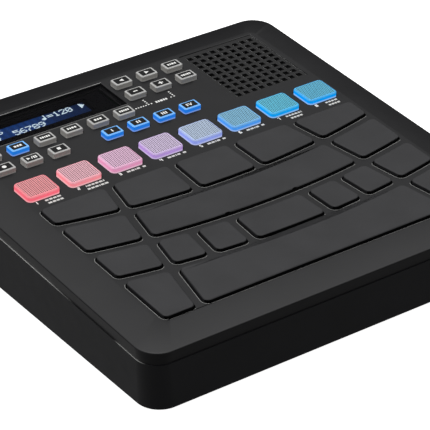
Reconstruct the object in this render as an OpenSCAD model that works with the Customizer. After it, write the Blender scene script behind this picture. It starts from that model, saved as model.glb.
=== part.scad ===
// Finger drum machine: a wedge-shaped two-part case whose sloping panel carries
// eighteen drum pads, eight lit function pads, nineteen keys, a display and a
// speaker grille.  Sizes are in millimetres.  X runs to the player's right, Y to
// the rear and Z up; the origin is on the table under the middle of the case.
// Most pieces are drawn in the panel frame: its Z = 0 is the flat part of the
// panel and its Y climbs the slope.

/* [Case] */
// Width of the case
body_w = 256; // [250:1:290]
// Depth of the case, seen from above
body_d = 256; // [250:1:290]
// Height of the flat panel above the table at mid depth
panel_h = 50.8; // [44:0.2:70]
// Slope of the panel, rear higher, in degrees
tilt = 2.8; // [0:0.1:6]
// Corner radius of the case seen from above
corner_r = 14; // [10:0.5:22]
// Wall thickness of both case halves
wall = 2.5; // [1.8:0.1:3.2]
// Width of the sloping border at the sides
border_w = 19.5; // [16:0.5:24]
// Depth of the sloping border at the front and the rear
border_d = 18.5; // [16:0.5:24]
// Drop of the sloping border from the flat panel to the case edge
border_drop = 3.7; // [2:0.1:6]
// Height of the cover's side below the case edge
skirt_h = 8.2; // [6:0.2:12]
// Inward lean of the cover's side
skirt_lean = 1.8; // [0.5:0.1:3]
// Inward lean of the lower case's side
case_lean = 3.4; // [1:0.1:6]
// Edge bevel of the cover and of the lower case
edge_bevel = 0.5; // [0.3:0.1:1.2]
// Ledge of the lower case outside the cover at the seam
seam_ledge = 0.6; // [0.2:0.1:1]
// Height of the rubber feet under the case
foot_h = 2; // [1:0.25:5]
// Diameter of the rubber feet
foot_d = 16; // [10:1:22]

/* [Drum pads] */
// Distance from the flat panel's side edges to the outermost pads
pad_border = 3.4; // [3:0.1:6]
// Distance from the flat panel's front edge to the front pads
pad_front = 1.2; // [1:0.1:4]
// Depths of the four pad rows on the centre line, set against each other, rear row first
row_parts = [27.4, 24, 21.5, 26.5];
// Space between neighbouring drum pads
pad_space = 6.1; // [5.6:0.1:8]
// Gap between a drum pad and the panel around it
pad_gap = 0.8; // [0.5:0.1:1]
// Height of the drum pads above the panel
pad_rise = 1.8; // [1:0.1:3]
// Corner radius of the drum pads
pad_r = 3; // [2:0.25:4]
// Edge bevel of the drum pads
pad_bevel = 0.4; // [0.2:0.1:0.6]
// Press of a drum pad
pad_travel = 0.6; // [0.3:0.1:1]
// Radius of the curved space in front of the rear pad row
row_arc_r = 460; // [350:10:900]

/* [Lit pads] */
// Number of lit pads
lit_count = 8; // [6:1:8]
// Width of a lit pad
lit_w = 20.4; // [16:0.2:22]
// Depth of a lit pad
lit_d = 17.4; // [12:0.2:19]
// Height of the lit pads above the panel
lit_rise = 2.8; // [1.5:0.1:4]
// Corner radius of the lit pads
lit_r = 2.6; // [1.5:0.1:4]
// Space from the rear row of drum pads to the lit pads
lit_space = 10.8; // [9:0.2:13]

/* [Keys] */
// Width of a key
key_w = 11.2; // [9:0.1:12]
// Depth of a key
key_d = 7.5; // [6:0.1:9]
// Distance between key columns
key_pitch_x = 17.7; // [16:0.1:17.8]
// Distance between key rows
key_pitch_y = 14.6; // [13:0.1:15.4]
// Height of the keys above the panel
key_rise = 2.8; // [1.5:0.1:4]
// Corner radius of the keys
key_r = 0.9; // [0.5:0.1:2]
// Space from the panel's rear flat edge to the rear key row
key_border = 7.5; // [5:0.1:9]
// Space from the lit pads to the front key row
key_space = 13.4; // [11.5:0.1:18]
// Press of a key or lit pad
key_travel = 1; // [0.5:0.1:1.2]
// Gap between a key or lit pad and the panel around it
key_gap = 0.4; // [0.3:0.05:0.6]

/* [Display and grille] */
// Space from the display window to the keys at its right
window_side_space = 3.8; // [2.5:0.1:8]
// Space from the display window to the keys in front of it
window_front_space = 5.6; // [3:0.1:10]
// Reach of the display window behind the rear key row
window_reach = 4; // [2:0.5:5]
// Pitch of the grille holes
hole_pitch = 5.45; // [4.5:0.05:7]
// Side of a square grille hole
hole_side = 3.3; // [2:0.1:4]
// Depth of the grille panel
grille_d = 57; // [50:0.5:57]
// Thickness of the grille panel
grille_t = 1.2; // [0.8:0.1:1.4]
// Step from the panel down to the grille
grille_step = 0.4; // [0.2:0.1:0.6]
// Outer diameter of the speaker
speaker_d = 50; // [36:1:51]

/* [Rear panel] */
// Bore diameter of the audio jacks
jack_bore = 3.6; // [3.5:0.1:6.6]
// Depth of the bore of the audio jacks
jack_depth = 14; // [12:0.5:16]
// Distance between the sockets
socket_pitch = 19; // [17:0.5:24]
// Diameter of the volume wheel
wheel_d = 18; // [14:0.5:22]
// Thickness of the volume wheel
wheel_t = 4; // [3:0.25:5]
// Amount of the volume wheel that stands out of the case
wheel_out = 2; // [1:0.1:2.2]
// Width of the power button
power_w = 9; // [7:0.25:12]
// Height of the power button
power_h = 4.5; // [3.5:0.25:6]
// Press of the power button
power_travel = 0.8; // [0.4:0.1:1]

/* [Inside] */
// Thickness of the circuit boards
board_t = 1.6; // [1:0.1:2]
// Height of the main board above the case floor
board_stand = 8; // [6:0.5:12]
// Diameter of a battery cell
cell_d = 18.5; // [14:0.5:21]
// Length of a battery cell
cell_l = 66; // [40:1:80]

/* [Hidden] */

// Clearances
fit_gap = 0.1;          // between pieces that stay together
move_gap = 0.3;         // between a moving piece and its neighbours
spin_gap = 0.05;        // between a turning piece and its spindle, on the radius
pilot_gap = 0.1;        // between a screw and the hole it is driven into

// Panel frame: levels below the flat panel
cover_under = -wall;
flange_top = cover_under - move_gap;
flange_t = 1.2;
flange_bottom = flange_top - flange_t;
longest_press = max(pad_travel, key_travel);
board_top = flange_bottom - longest_press - move_gap;
board_bottom = board_top - board_t;
edge_level = -border_drop;
bevel_level = edge_level - edge_bevel;
seam_level = bevel_level - skirt_h;

// Case outlines
half_w = body_w / 2;
plan_hd = body_d / 2;
half_d = plan_hd / cos(tilt);
flat_hw = half_w - border_w;
flat_hd = half_d - border_d;
flat_r = 6;
roof_land = 2;
panel_y = bevel_level * sin(tilt);
cover_low_hw = half_w - skirt_lean;
cover_low_hd = half_d - skirt_lean;
case_top_hw = cover_low_hw + seam_ledge;
case_top_hd = cover_low_hd + seam_ledge;
case_low_hw = case_top_hw - case_lean;
case_low_hd = plan_hd - skirt_lean + seam_ledge - case_lean;
floor_z = foot_h + wall;

// Drum pad field: the rows fill what the lit pads and the keys behind them leave free
field_hw = flat_hw - pad_border;
field_front = -flat_hd + pad_front;
key_rear = flat_hd - key_border;
key_front = key_rear - key_d - 3 * key_pitch_y;
lit_front = key_front - key_space - lit_d;
field_rear = lit_front - lit_space;
rows_d = field_rear - field_front - 3 * pad_space;
function row_depth(r) = rows_d * row_parts[r] / (row_parts * [1, 1, 1, 1]);
row4_rear = field_front + row_depth(3);
row3_front = row4_rear + pad_space;
row3_rear = row3_front + row_depth(2);
row2_front = row3_rear + pad_space;
row2_rear = row2_front + row_depth(1);
row1_front = row2_rear + pad_space;
row1_rear = field_rear;
arc_y = row1_front + row_arc_r;
flange_out = pad_gap + 1.5;
// Middle lines of the spaces between the pads of a row: their places on the panel's middle
// line and their leans towards the centre, in degrees
split_xs = [63, 43, 21.6, 20.5];
split_angles = [10.6, 6, 2.86, 1.72];
function split(k) = [split_xs[k], -tan(split_angles[k])];
row_splits = [
    [split(0), split(3)],
    [split(0)],
    [split(0), split(1), split(2)],
    [split(0)]];
row_fronts = [[row1_front, true], [row2_front, true], [row3_front, true], [field_front, false]];
row_rears = [[row1_rear, false], [row2_rear, true], [row3_rear, true], [row4_rear, true]];

function row_lines(r) = concat(
    [[-field_hw, 0]],
    [for (line = row_splits[r]) -line],
    [for (k = [len(row_splits[r]) - 1:-1:0]) row_splits[r][k]],
    [[field_hw, 0]]);
corner_n = 6;
// Two shallow notches in the front edge of the wide pad in the second row
notched_pad = 7;
notch_x = 22.6;
notch_r = 3;
notch_in = 0.6;
// Every drum pad as [row, place in the row]
pads = [for (r = [0:3]) for (k = [0:len(row_lines(r)) - 2]) [r, k]];

// Lit pads
lit_y = lit_front + lit_d / 2;
lit_pitch = (2 * field_hw - lit_w) / (lit_count - 1);
key_flange = key_gap + 1;
lit_bevel = 0.6;
key_bevel = 0.3;
function lit_x(i) = -field_hw + lit_w / 2 + i * lit_pitch;

// Keys as [column, row], both counted from the rear left corner
key_places = concat(
    [for (r = [0, 1]) for (c = [6, 7, 8]) [c, r]],
    [for (c = [0:5]) [c, 2]],
    [for (c = [0, 1, 2, 4, 5, 6, 7]) [c, 3]]);
lit_keys = [8, 16, 17, 18, 19];
function key_x(c) = -field_hw + key_w / 2 + c * key_pitch_x;
function key_y(r) = key_rear - key_d / 2 - r * key_pitch_y;

// Display window and display
window_w = 6 * key_pitch_x - window_side_space;
window_x = -field_hw + window_w / 2;
window_rear = key_rear + window_reach;
window_d = window_reach + 2 * key_pitch_y - window_front_space;
window_y = window_rear - window_d / 2;
window_t = 1.6;
window_sink = 0.3;
window_ledge = 2.5;
bezel_depth = 7;
glass_depth = 2;
lcd_view_w = 71.4;
lcd_view_d = 14;
lcd_view_back = 1.3;    // from the window's middle to the view's middle

// Speaker grille, in what the keys leave free at the panel's right
grille_space = 5.6;
grille_left = key_x(8) + key_w / 2 + grille_space;
grille_w = field_hw - grille_left;
grille_x = grille_left + grille_w / 2;
grille_rear = window_rear + 0.4;
grille_y = grille_rear - grille_d / 2;
grille_edge = 2.2;
grille_bottom = -grille_step - grille_t;
grille_floor = 0.9;
grille_rim = 1.5;
holes_shift = [0.4, -0.9];
holes_x = floor((grille_w - 2 * grille_edge - hole_side) / hole_pitch) + 1;
holes_y = floor((grille_d - 2 * grille_edge - hole_side) / hole_pitch) + 1;
speaker_rim = 1.5;
speaker_ring_h = 2.5;
speaker_flange_t = 1.5;
bay_level = min(cover_under, grille_bottom - grille_floor);
speaker_top = bay_level - speaker_ring_h;
magnet_d = 0.56 * speaker_d;
cone_depth = 0.24 * speaker_d;
magnet_h = 8;

// Case screws: [x, y] of each; the heads sit deep in the lower case's posts
screw_in = 11;
screw_back = 5;
screw_xy = [for (x = [-1, 1]) for (y = [-1, 0, 1])
    [x * (half_w - screw_in), y * (plan_hd - screw_in - screw_back)]];
screw_r = 1.5;
screw_head_r = 2.8;
screw_head_h = 2;
screw_grip = 12;
screw_bite = 6;
screw_post_r = 4.2;
function seam_z(y) = panel_h + (y - panel_y) * tan(tilt) + seam_level / cos(tilt);

// Posts that hold the panel board under the cover
post_r = 2.4;
pin_r = 1.2;
board_hw = min(field_hw + 7, half_w - screw_in - screw_post_r - 1);
board_front = field_front - flange_out - 6;
board_rear = flat_hd + 5;
post_y1 = row1_rear + (lit_space + flange_out - key_flange) / 2;
post_y2 = key_front - key_space / 2;
post_y3 = field_front - flange_out - post_r - 2 * move_gap;
posts = concat(
    [for (y = [post_y1, post_y2]) for (i = [0.5:2:lit_count - 1]) [lit_x(i), y]],
    [for (x = [lit_x(0.5), 0, -lit_x(0.5)]) [x, post_y3]]);

// Rear sockets and main board, in the row frame
main_board_z = floor_z + board_stand;
main_board_top = main_board_z + board_t;
seam_rear_z = panel_h + case_top_hd * sin(tilt) + seam_level * cos(tilt);
seam_rear_y = panel_y + case_top_hd * cos(tilt) - seam_level * sin(tilt);
function wall_y(z) = case_low_hd
    + (seam_rear_y - case_low_hd) * (z - foot_h - edge_bevel) / (seam_rear_z - foot_h - edge_bevel);
socket_up = 3.8;
socket_z = main_board_top + socket_up;
socket_sink = 0.2;
socket_face = wall_y(socket_z) - socket_sink;
main_board_rear = wall_y(main_board_z) - wall - 3;
main_board_d = 52;
main_board_w = 176;
board_screw_in = 6;
board_screw_r = 1.25;
board_screw_l = 5;
jack_r = 3.1;
jack_w = 8;
jack_body_d = 12;
jack_in = 1;             // from the wall's inner face to the jack's body
jack_xs = [-1.5 * socket_pitch, -0.5 * socket_pitch];
usb_a_x = 0.5 * socket_pitch + 1;
usb_c_x = 1.5 * socket_pitch + 1;
usb_a = [14.4, 7];
usb_c = [9, 3.3];
usb_wall = 0.4;
usb_depth = 14;
wheel_x = -3.3 * socket_pitch;
wheel_up = 4;
wheel_z = main_board_top + wheel_up + wheel_t / 2;
wheel_y = wall_y(wheel_z) + wheel_out - wheel_d / 2;
spindle_r = 2;
pot_w = 11;
power_x = 3.3 * socket_pitch;
power_z = socket_z;
power_out = power_travel + 0.6;
power_flange = 1;
power_flange_t = 1.6;
power_flange_gap = 0.8;
chip_w = 14;
chip_t = 1.4;
chip_x = 20;
chip_in = 35;

// Feet
foot_in = 26;
foot_seat = 1;

// Battery
battery_y = -30;

// Colours
black_plastic = [0.17, 0.17, 0.18];
lower_plastic = [0.11, 0.11, 0.12];
pad_rubber = [0.24, 0.24, 0.25];
key_grey = [0.62, 0.62, 0.62];
key_blue = [0.14, 0.5, 0.95];
board_green = [0.1, 0.3, 0.2];
metal = [0.7, 0.7, 0.72];
lit_colors = [[0.95, 0.4, 0.45], [0.95, 0.52, 0.52], [0.85, 0.52, 0.72], [0.68, 0.55, 0.85],
    [0.52, 0.52, 0.92], [0.25, 0.55, 0.92], [0.1, 0.55, 0.95], [0.05, 0.52, 0.95]];

// ---------------------------------------------------------------- outlines

function turned(v, a) = [v.x * cos(a) - v.y * sin(a), v.x * sin(a) + v.y * cos(a)];
function left_of(v) = [-v.y, v.x];

// Points that round the corner c between the directions u and v
function fillet(c, u, v, r, n) =
    let (turn = atan2(u.x * v.y - u.y * v.x, u * v),
         start = c - r * tan(turn / 2) * u,
         centre = start + r * left_of(u))
    [for (k = [0:n]) centre - r * turned(left_of(u), turn * k / n)];

// Rounded rectangle about the origin
function round_rect(hw, hd, r, n) = concat(
    fillet([-hw, -hd], [0, -1], [1, 0], r, n),
    fillet([hw, -hd], [1, 0], [0, 1], r, n),
    fillet([hw, hd], [0, 1], [-1, 0], r, n),
    fillet([-hw, hd], [-1, 0], [0, -1], r, n));

function moved(pts, x, y) = [for (p = pts) [p.x + x, p.y + y]];
function at_level(pts, z) = [for (p = pts) [p.x, p.y, z]];

// A row boundary is [y on the centre line, curved?]; a curved one is an arc about [0, arc_y]
function boundary_r(b) = arc_y - b[0];
function crossing(line, b) =
    let (k = arc_y - line[0] * line[1],
         m2 = 1 + line[1] * line[1],
         y = b[1]
            ? (k - sqrt(k * k - m2 * (line[0] * line[0] + arc_y * arc_y - pow(boundary_r(b), 2)))) / m2
            : b[0])
    [line[0] + line[1] * y, y];
function boundary_dir(p, b) = b[1] ? [arc_y - p.y, p.x] / norm([arc_y - p.y, p.x]) : [1, 0];
function line_dir(line) = [line[1], 1] / norm([line[1], 1]);
function arc_angle(p) = atan2(p.x, arc_y - p.y);
function arc_steps(line_a, line_b, b) = b[1]
    ? ceil(norm(crossing(line_a, b) - crossing(line_b, b)) / 12)
    : 1;
function arc_between(p, q, b, n) = n < 2 ? [] :
    [for (k = [1:n - 1])
        let (a = arc_angle(p) + (arc_angle(q) - arc_angle(p)) * k / n)
        [boundary_r(b) * sin(a), arc_y - boundary_r(b) * cos(a)]];
function shifted(line, d) = [line[0] + d * norm([line[1], 1]), line[1]];

// Outline of a drum pad, shrunk by d (or grown, where d is negative)
function pad_outline(pad, d) =
    let (lines = row_lines(pad[0]),
         raw_l = lines[pad[1]],
         raw_r = lines[pad[1] + 1],
         in_l = (pad[1] == 0 ? 0 : pad_space / 2) + d,
         in_r = (pad[1] == len(lines) - 2 ? 0 : pad_space / 2) + d,
         l = shifted(raw_l, in_l),
         r = shifted(raw_r, -in_r),
         f = [row_fronts[pad[0]][0] + d, row_fronts[pad[0]][1]],
         b = [row_rears[pad[0]][0] - d, row_rears[pad[0]][1]],
         fl = crossing(l, f),
         fr = crossing(r, f),
         rr = crossing(r, b),
         rl = crossing(l, b),
         rad = max(pad_r - d, 0.3),
         nf = arc_steps(raw_l, raw_r, row_fronts[pad[0]]),
         nb = arc_steps(raw_l, raw_r, row_rears[pad[0]]),
         c1 = fillet(fl, -line_dir(l), boundary_dir(fl, f), rad, corner_n),
         c2 = fillet(fr, boundary_dir(fr, f), line_dir(r), rad, corner_n),
         c3 = fillet(rr, line_dir(r), -boundary_dir(rr, b), rad, corner_n),
         c4 = fillet(rl, -boundary_dir(rl, b), -line_dir(l), rad, corner_n))
    concat(c1, arc_between(c1[corner_n], c2[0], f, nf), c2, c3, arc_between(c3[corner_n], c4[0], b, nb), c4);

// ---------------------------------------------------------------- helpers

// Skin through rings of equally many points, lowest ring first
module loft(rings) {
    n = len(rings[0]);
    last = (len(rings) - 1) * n;
    sides = [for (k = [0:len(rings) - 2]) for (i = [0:n - 1])
        let (a = k * n + i, b = k * n + (i + 1) % n)
        each [[a, a + n, b], [b, a + n, b + n]]];
    polyhedron(
        points = [for (ring = rings) each ring],
        faces = concat([[for (i = [0:n - 1]) i]], sides, [[for (i = [n - 1:-1:0]) last + i]]));
}

module on_panel() {
    translate([0, panel_y, panel_h]) rotate([tilt, 0, 0]) children();
}

// The same place as on_panel(), for a point
function panel_point(x, y, z) = [x,
    panel_y + y * cos(tilt) - z * sin(tilt),
    panel_h + y * sin(tilt) + z * cos(tilt)];

// A cap with a retaining flange; outlines holds [flange, body, shrunk top]
module cap(outlines, rise, bevel) {
    loft([
        at_level(outlines[0], flange_bottom),
        at_level(outlines[0], flange_top),
        at_level(outlines[1], flange_top),
        at_level(outlines[1], rise - bevel),
        at_level(outlines[2], rise)]);
}

module box_at(x, y, z, w, d, h) {
    translate([x - w / 2, y - d / 2, z]) cube([w, d, h]);
}

// ---------------------------------------------------------------- case

function cover_ring(hw, hd, r, z) = at_level(round_rect(hw, hd, r, 12), z);

module cover_shell() {
    difference() {
        loft([
            cover_ring(cover_low_hw, cover_low_hd, corner_r - skirt_lean, seam_level),
            cover_ring(half_w, half_d, corner_r, bevel_level),
            cover_ring(half_w - edge_bevel, half_d - edge_bevel, corner_r - edge_bevel, edge_level),
            cover_ring(flat_hw, flat_hd, flat_r, 0)]);
        loft([
            cover_ring(cover_low_hw - wall, cover_low_hd - wall, corner_r - skirt_lean - wall,
                seam_level - 1),
            cover_ring(half_w - wall, half_d - wall, corner_r - wall, bevel_level - wall),
            cover_ring(flat_hw + roof_land, flat_hd + roof_land, flat_r + roof_land, cover_under)]);
    }
}

module window_opening(grow, low, high) {
    box_at(window_x, window_y, low, window_w + 2 * grow, window_d + 2 * grow, high - low);
}

module grille_opening(grow, low, high) {
    box_at(grille_x, grille_y, low, grille_w + 2 * grow, grille_d + 2 * grow, high - low);
}

module cover_openings() {
    below = cover_under - 1;
    translate([0, 0, below]) linear_extrude(wall + 2) {
        for (pad = pads) polygon(pad_outline(pad, -pad_gap));
        for (i = [0:lit_count - 1])
            polygon(moved(round_rect(lit_w / 2 + key_gap, lit_d / 2 + key_gap, lit_r + key_gap, corner_n),
                lit_x(i), lit_y));
        for (place = key_places)
            polygon(moved(round_rect(key_w / 2 + key_gap, key_d / 2 + key_gap, key_r + key_gap, 2),
                key_x(place[0]), key_y(place[1])));
    }
    window_opening(fit_gap, -window_sink - window_t, 1);
    window_opening(-window_ledge, below, 1);
    grille_opening(fit_gap, grille_bottom, 1);
    translate([grille_x, grille_y, bay_level - 1])
        cylinder(d = speaker_d - 2 * speaker_rim, h = wall + 1, $fn = 64);
}

// The floor under the grille and the ring that the speaker hangs from
module speaker_bay() {
    grille_opening(grille_rim, bay_level, grille_bottom);
    translate([grille_x, grille_y, speaker_top]) difference() {
        cylinder(d = speaker_d, h = speaker_ring_h + 0.5, $fn = 64);
        translate([0, 0, -1]) cylinder(d = speaker_d - 2 * speaker_rim, h = speaker_ring_h + 3, $fn = 64);
    }
}

module cover_posts() {
    for (p = posts) translate([p.x, p.y, 0]) {
        translate([0, 0, board_top]) cylinder(r = post_r, h = cover_under - board_top + 0.5, $fn = 24);
        translate([0, 0, board_bottom - 0.8]) cylinder(r = pin_r, h = board_t + 1.3, $fn = 24);
    }
}

// Height of the cover's outer face over a case screw, measured on the sloping border
function roof_z(p) = panel_h + (p.y - panel_y) * tan(tilt)
    - border_drop * (abs(p.x) - flat_hw) / (border_w - edge_bevel);

module cover_screw_posts() {
    for (p = screw_xy) translate([p.x, p.y, seam_z(p.y) + fit_gap]) difference() {
        cylinder(r = screw_post_r, h = roof_z(p) - wall * 0.6 - seam_z(p.y), $fn = 32);
        translate([0, 0, -1]) cylinder(r = screw_r + pilot_gap, h = screw_bite + 2, $fn = 24);
    }
}

module top_cover() {
    color(black_plastic) {
        on_panel() {
            difference() {
                union() {
                    cover_shell();
                    speaker_bay();
                }
                cover_openings();
            }
            cover_posts();
        }
        cover_screw_posts();
    }
}

tongue_t = 1.1;
tongue_h = 2;
tongue_root_h = 3.5;
tongue_out = wall + fit_gap + skirt_lean / 4;
tongue_root = wall - seam_ledge - 0.6;
function tongue_ring(inset, z) =
    cover_ring(cover_low_hw - inset, cover_low_hd - inset, corner_r - skirt_lean - inset, seam_level + z);
function case_seam_ring(hw, hd, r) =
    [for (p = round_rect(hw, hd, r, 12)) panel_point(p.x, p.y, seam_level)];
function case_low_ring(inset, z) =
    at_level(round_rect(case_low_hw - inset, case_low_hd - inset, corner_r - inset, 12), z);

module case_shell() {
    top_r = corner_r - skirt_lean + seam_ledge;
    difference() {
        loft([
            case_low_ring(edge_bevel, foot_h),
            case_low_ring(0, foot_h + edge_bevel),
            case_seam_ring(case_top_hw, case_top_hd, top_r)]);
        loft([
            case_low_ring(wall, floor_z),
            [for (p = case_seam_ring(case_top_hw - wall, case_top_hd - wall, top_r - wall))
                p + [0, 0, 1]]]);
    }
}

// A tongue on the lower case that stands inside the cover's side, on a root that joins the wall
module case_tongue() {
    on_panel() difference() {
        loft([
            tongue_ring(tongue_root, -tongue_root_h),
            tongue_ring(tongue_root, -fit_gap),
            tongue_ring(tongue_out, -fit_gap),
            tongue_ring(tongue_out, tongue_h)]);
        loft([
            tongue_ring(tongue_out + tongue_t, -tongue_root_h - 1),
            tongue_ring(tongue_out + tongue_t, tongue_h + 1)]);
    }
}

module case_screw_posts() {
    for (p = screw_xy) translate([p.x, p.y, foot_h + 0.5])
        cylinder(r = screw_post_r, h = seam_z(p.y) - foot_h - 0.5 - fit_gap, $fn = 32);
}

function screw_seat(y) = seam_z(y) - screw_grip;

module case_screw_holes() {
    for (p = screw_xy) translate([p.x, p.y, 0]) {
        cylinder(r = screw_r + 0.2, h = seam_z(p.y) + 5, $fn = 24);
        cylinder(r = screw_head_r + 0.3, h = screw_seat(p.y), $fn = 32);
    }
}

module foot_places() {
    for (x = [-1, 1]) for (y = [-1, 1])
        translate([x * (case_low_hw - foot_in), y * (case_low_hd - foot_in), 0]) children();
}

module board_corners() {
    for (x = [-1, 1]) for (y = [-1, 1])
        translate([x * (main_board_w / 2 - board_screw_in),
            main_board_rear - main_board_d / 2 + y * (main_board_d / 2 - board_screw_in), 0]) children();
}

module case_standoffs() {
    board_corners() translate([0, 0, floor_z - 0.5]) difference() {
        cylinder(r = 3, h = board_stand + 0.5, $fn = 24);
        translate([0, 0, board_stand - board_screw_l])
            cylinder(r = board_screw_r + pilot_gap, h = board_screw_l + 1, $fn = 24);
    }
}

module battery_cradle() {
    rib = 1.5;
    for (y = [-1, 1])
        box_at(0, battery_y + y * (cell_d + fit_gap + rib / 2), floor_z - 0.5,
            0.7 * cell_l, rib, cell_d * 0.4);
}

module socket_slot(x, z, w, h) {
    box_at(x, wall_y(z) - wall, z - h / 2, w, 4 * wall, h);
}

module rear_openings() {
    for (x = jack_xs) translate([x, wall_y(socket_z) - 3 * wall, socket_z])
        rotate([-90, 0, 0]) cylinder(r = jack_r + 0.2, h = 6 * wall, $fn = 32);
    socket_slot(usb_a_x, main_board_top + usb_a.y / 2, usb_a.x + 0.8, usb_a.y + 0.8);
    socket_slot(usb_c_x, main_board_top + usb_c.y / 2, usb_c.x + 0.8, usb_c.y + 0.8);
    socket_slot(power_x, power_z, power_w + 2 * move_gap, power_h + 2 * move_gap);
    translate([wheel_x, wheel_y, wheel_z - wheel_t / 2 - move_gap])
        cylinder(r = wheel_d / 2 + 0.5, h = wheel_t + 2 * move_gap, $fn = 64);
}

module bottom_case() {
    color(lower_plastic) difference() {
        union() {
            case_shell();
            case_tongue();
            case_screw_posts();
            case_standoffs();
            battery_cradle();
        }
        case_screw_holes();
        rear_openings();
        foot_places() translate([0, 0, -1])
            cylinder(d = foot_d + fit_gap, h = foot_h + foot_seat + 1, $fn = 48);
    }
}

module rubber_feet() {
    color([0.08, 0.08, 0.08]) foot_places() cylinder(d = foot_d, h = foot_h + foot_seat, $fn = 48);
}

module case_screws() {
    color(metal) for (p = screw_xy) translate([p.x, p.y, screw_seat(p.y)]) {
        cylinder(r = screw_r, h = screw_grip + screw_bite, $fn = 24);
        translate([0, 0, -screw_head_h]) difference() {
            cylinder(r = screw_head_r, h = screw_head_h, $fn = 32);
            translate([0, 0, -1]) cylinder(r = 1.2, h = 2, $fn = 6);
        }
    }
}

module board_screws() {
    color(metal) board_corners() {
        translate([0, 0, main_board_top - board_screw_l])
            cylinder(r = board_screw_r, h = board_screw_l, $fn = 24);
        translate([0, 0, main_board_top]) difference() {
            cylinder(r = 2.3, h = 1.6, $fn = 24);
            translate([0, 0, 0.6]) cylinder(r = 1, h = 2, $fn = 6);
        }
    }
}

// ---------------------------------------------------------------- panel pieces

module speaker_grille() {
    color(black_plastic) on_panel() translate([grille_x, grille_y, grille_bottom]) linear_extrude(grille_t)
        difference() {
            square([grille_w, grille_d], center = true);
            for (i = [0:holes_x - 1]) for (j = [0:holes_y - 1])
                translate(holes_shift + hole_pitch * [i - (holes_x - 1) / 2, j - (holes_y - 1) / 2])
                    square(hole_side, center = true);
        }
}

module speaker_driver() {
    r = speaker_d / 2;
    magnet_r = magnet_d / 2;
    color([0.2, 0.2, 0.21]) on_panel() translate([grille_x, grille_y, speaker_top])
        rotate_extrude($fn = 64) polygon([
            [0, -cone_depth * 0.45],
            [r * 0.3, -cone_depth * 0.62],
            [r * 0.36, -cone_depth * 0.85],
            [r * 0.82, -2],
            [r * 0.87, -0.8],
            [r * 0.92, -1.4],
            [r * 0.92, 0],
            [r, 0],
            [r, -speaker_flange_t],
            [r * 0.94, -speaker_flange_t - 1],
            [magnet_r, -cone_depth - 1],
            [magnet_r, -cone_depth - magnet_h],
            [0, -cone_depth - magnet_h]]);
}

module display_window() {
    color([0.05, 0.05, 0.06, 0.6]) on_panel() window_opening(0, -window_sink - window_t, -window_sink);
}

module lcd_module() {
    bezel_w = window_w - 2;
    bezel_d = window_d - 1;
    low = cover_under - bezel_depth;
    color([0.05, 0.07, 0.1]) on_panel() difference() {
        union() {
            box_at(window_x, window_y, low, bezel_w - 6, bezel_d, bezel_depth);
            box_at(window_x, window_y, low - board_t, bezel_w, bezel_d, board_t);
        }
        box_at(window_x, window_y + lcd_view_back, cover_under - glass_depth,
            lcd_view_w, lcd_view_d, glass_depth + 1);
    }
}

module panel_board() {
    color(board_green) on_panel() difference() {
        box_at(0, (board_front + board_rear) / 2, board_bottom,
            2 * board_hw, board_rear - board_front, board_t);
        for (p = posts) translate([p.x, p.y, board_bottom - 1])
            cylinder(r = pin_r + fit_gap, h = board_t + 2, $fn = 24);
        translate([grille_x, grille_y, board_bottom - 1])
            cylinder(d = speaker_d + 3, h = board_t + 2, $fn = 64);
        translate([window_x - window_w / 2 - 1, window_y - window_d / 2, board_bottom - 1])
            cube([window_w + 1.5, flat_hd, board_t + 2]);
    }
}

module pad_notches() {
    front = row_fronts[1];
    for (x = [-notch_x, notch_x])
        translate([x, arc_y - sqrt(pow(boundary_r(front), 2) - x * x) - notch_r + notch_in, flange_top])
            cylinder(r = notch_r, h = wall + 2 * pad_rise, $fn = 32);
}

module drum_pad(i) {
    color(pad_rubber) on_panel() difference() {
        cap([
            pad_outline(pads[i - 1], -flange_out),
            pad_outline(pads[i - 1], 0),
            pad_outline(pads[i - 1], pad_bevel)], pad_rise, pad_bevel);
        if (i == notched_pad) pad_notches();
    }
}

module block_cap(x, y, w, d, r, n, rise, bevel) {
    cap([
        moved(round_rect(w / 2 + key_flange, d / 2 + key_flange, r + key_flange, n), x, y),
        moved(round_rect(w / 2, d / 2, r, n), x, y),
        moved(round_rect(w / 2 - bevel, d / 2 - bevel, r - bevel, n), x, y)], rise, bevel);
}

module lit_pad(i) {
    color(lit_colors[i - 1]) on_panel()
        block_cap(lit_x(i - 1), lit_y, lit_w, lit_d, lit_r, corner_n, lit_rise, lit_bevel);
}

module key(i) {
    place = key_places[i - 1];
    color(len(search(i, lit_keys)) > 0 ? key_blue : key_grey) on_panel()
        block_cap(key_x(place[0]), key_y(place[1]), key_w, key_d, key_r, 2, key_rise, key_bevel);
}

// ---------------------------------------------------------------- electronics

module usb_shell(x, size) {
    z = main_board_top;
    translate([x - size.x / 2, socket_face - usb_depth, z]) difference() {
        cube([size.x, usb_depth, size.y]);
        translate([usb_wall, 2, usb_wall])
            cube([size.x - 2 * usb_wall, usb_depth, size.y - 2 * usb_wall]);
    }
    translate([x - size.x / 2 + 1, socket_face - usb_depth + 1.5, z + size.y / 2 - 0.3])
        cube([size.x - 2, usb_depth - 3, size.y * 0.22]);
}

module volume_pot() {
    pot_h = wheel_z - wheel_t / 2 - move_gap - main_board_top;
    pot_rear = wall_y(main_board_top) - wall - 2 * move_gap;
    box_at(wheel_x, pot_rear - pot_w / 2, main_board_top, pot_w, pot_w, pot_h);
    translate([wheel_x, wheel_y, main_board_top])
        cylinder(r = spindle_r, h = wheel_z + wheel_t / 2 - main_board_top, $fn = 32);
}

module power_switch() {
    flange_face = wall_y(power_z) - wall - power_flange_gap - power_flange_t;
    back = flange_face - power_travel - move_gap;
    box_at(power_x, back - 3, main_board_top, 7, 6, power_z + 2 - main_board_top);
}

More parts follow.
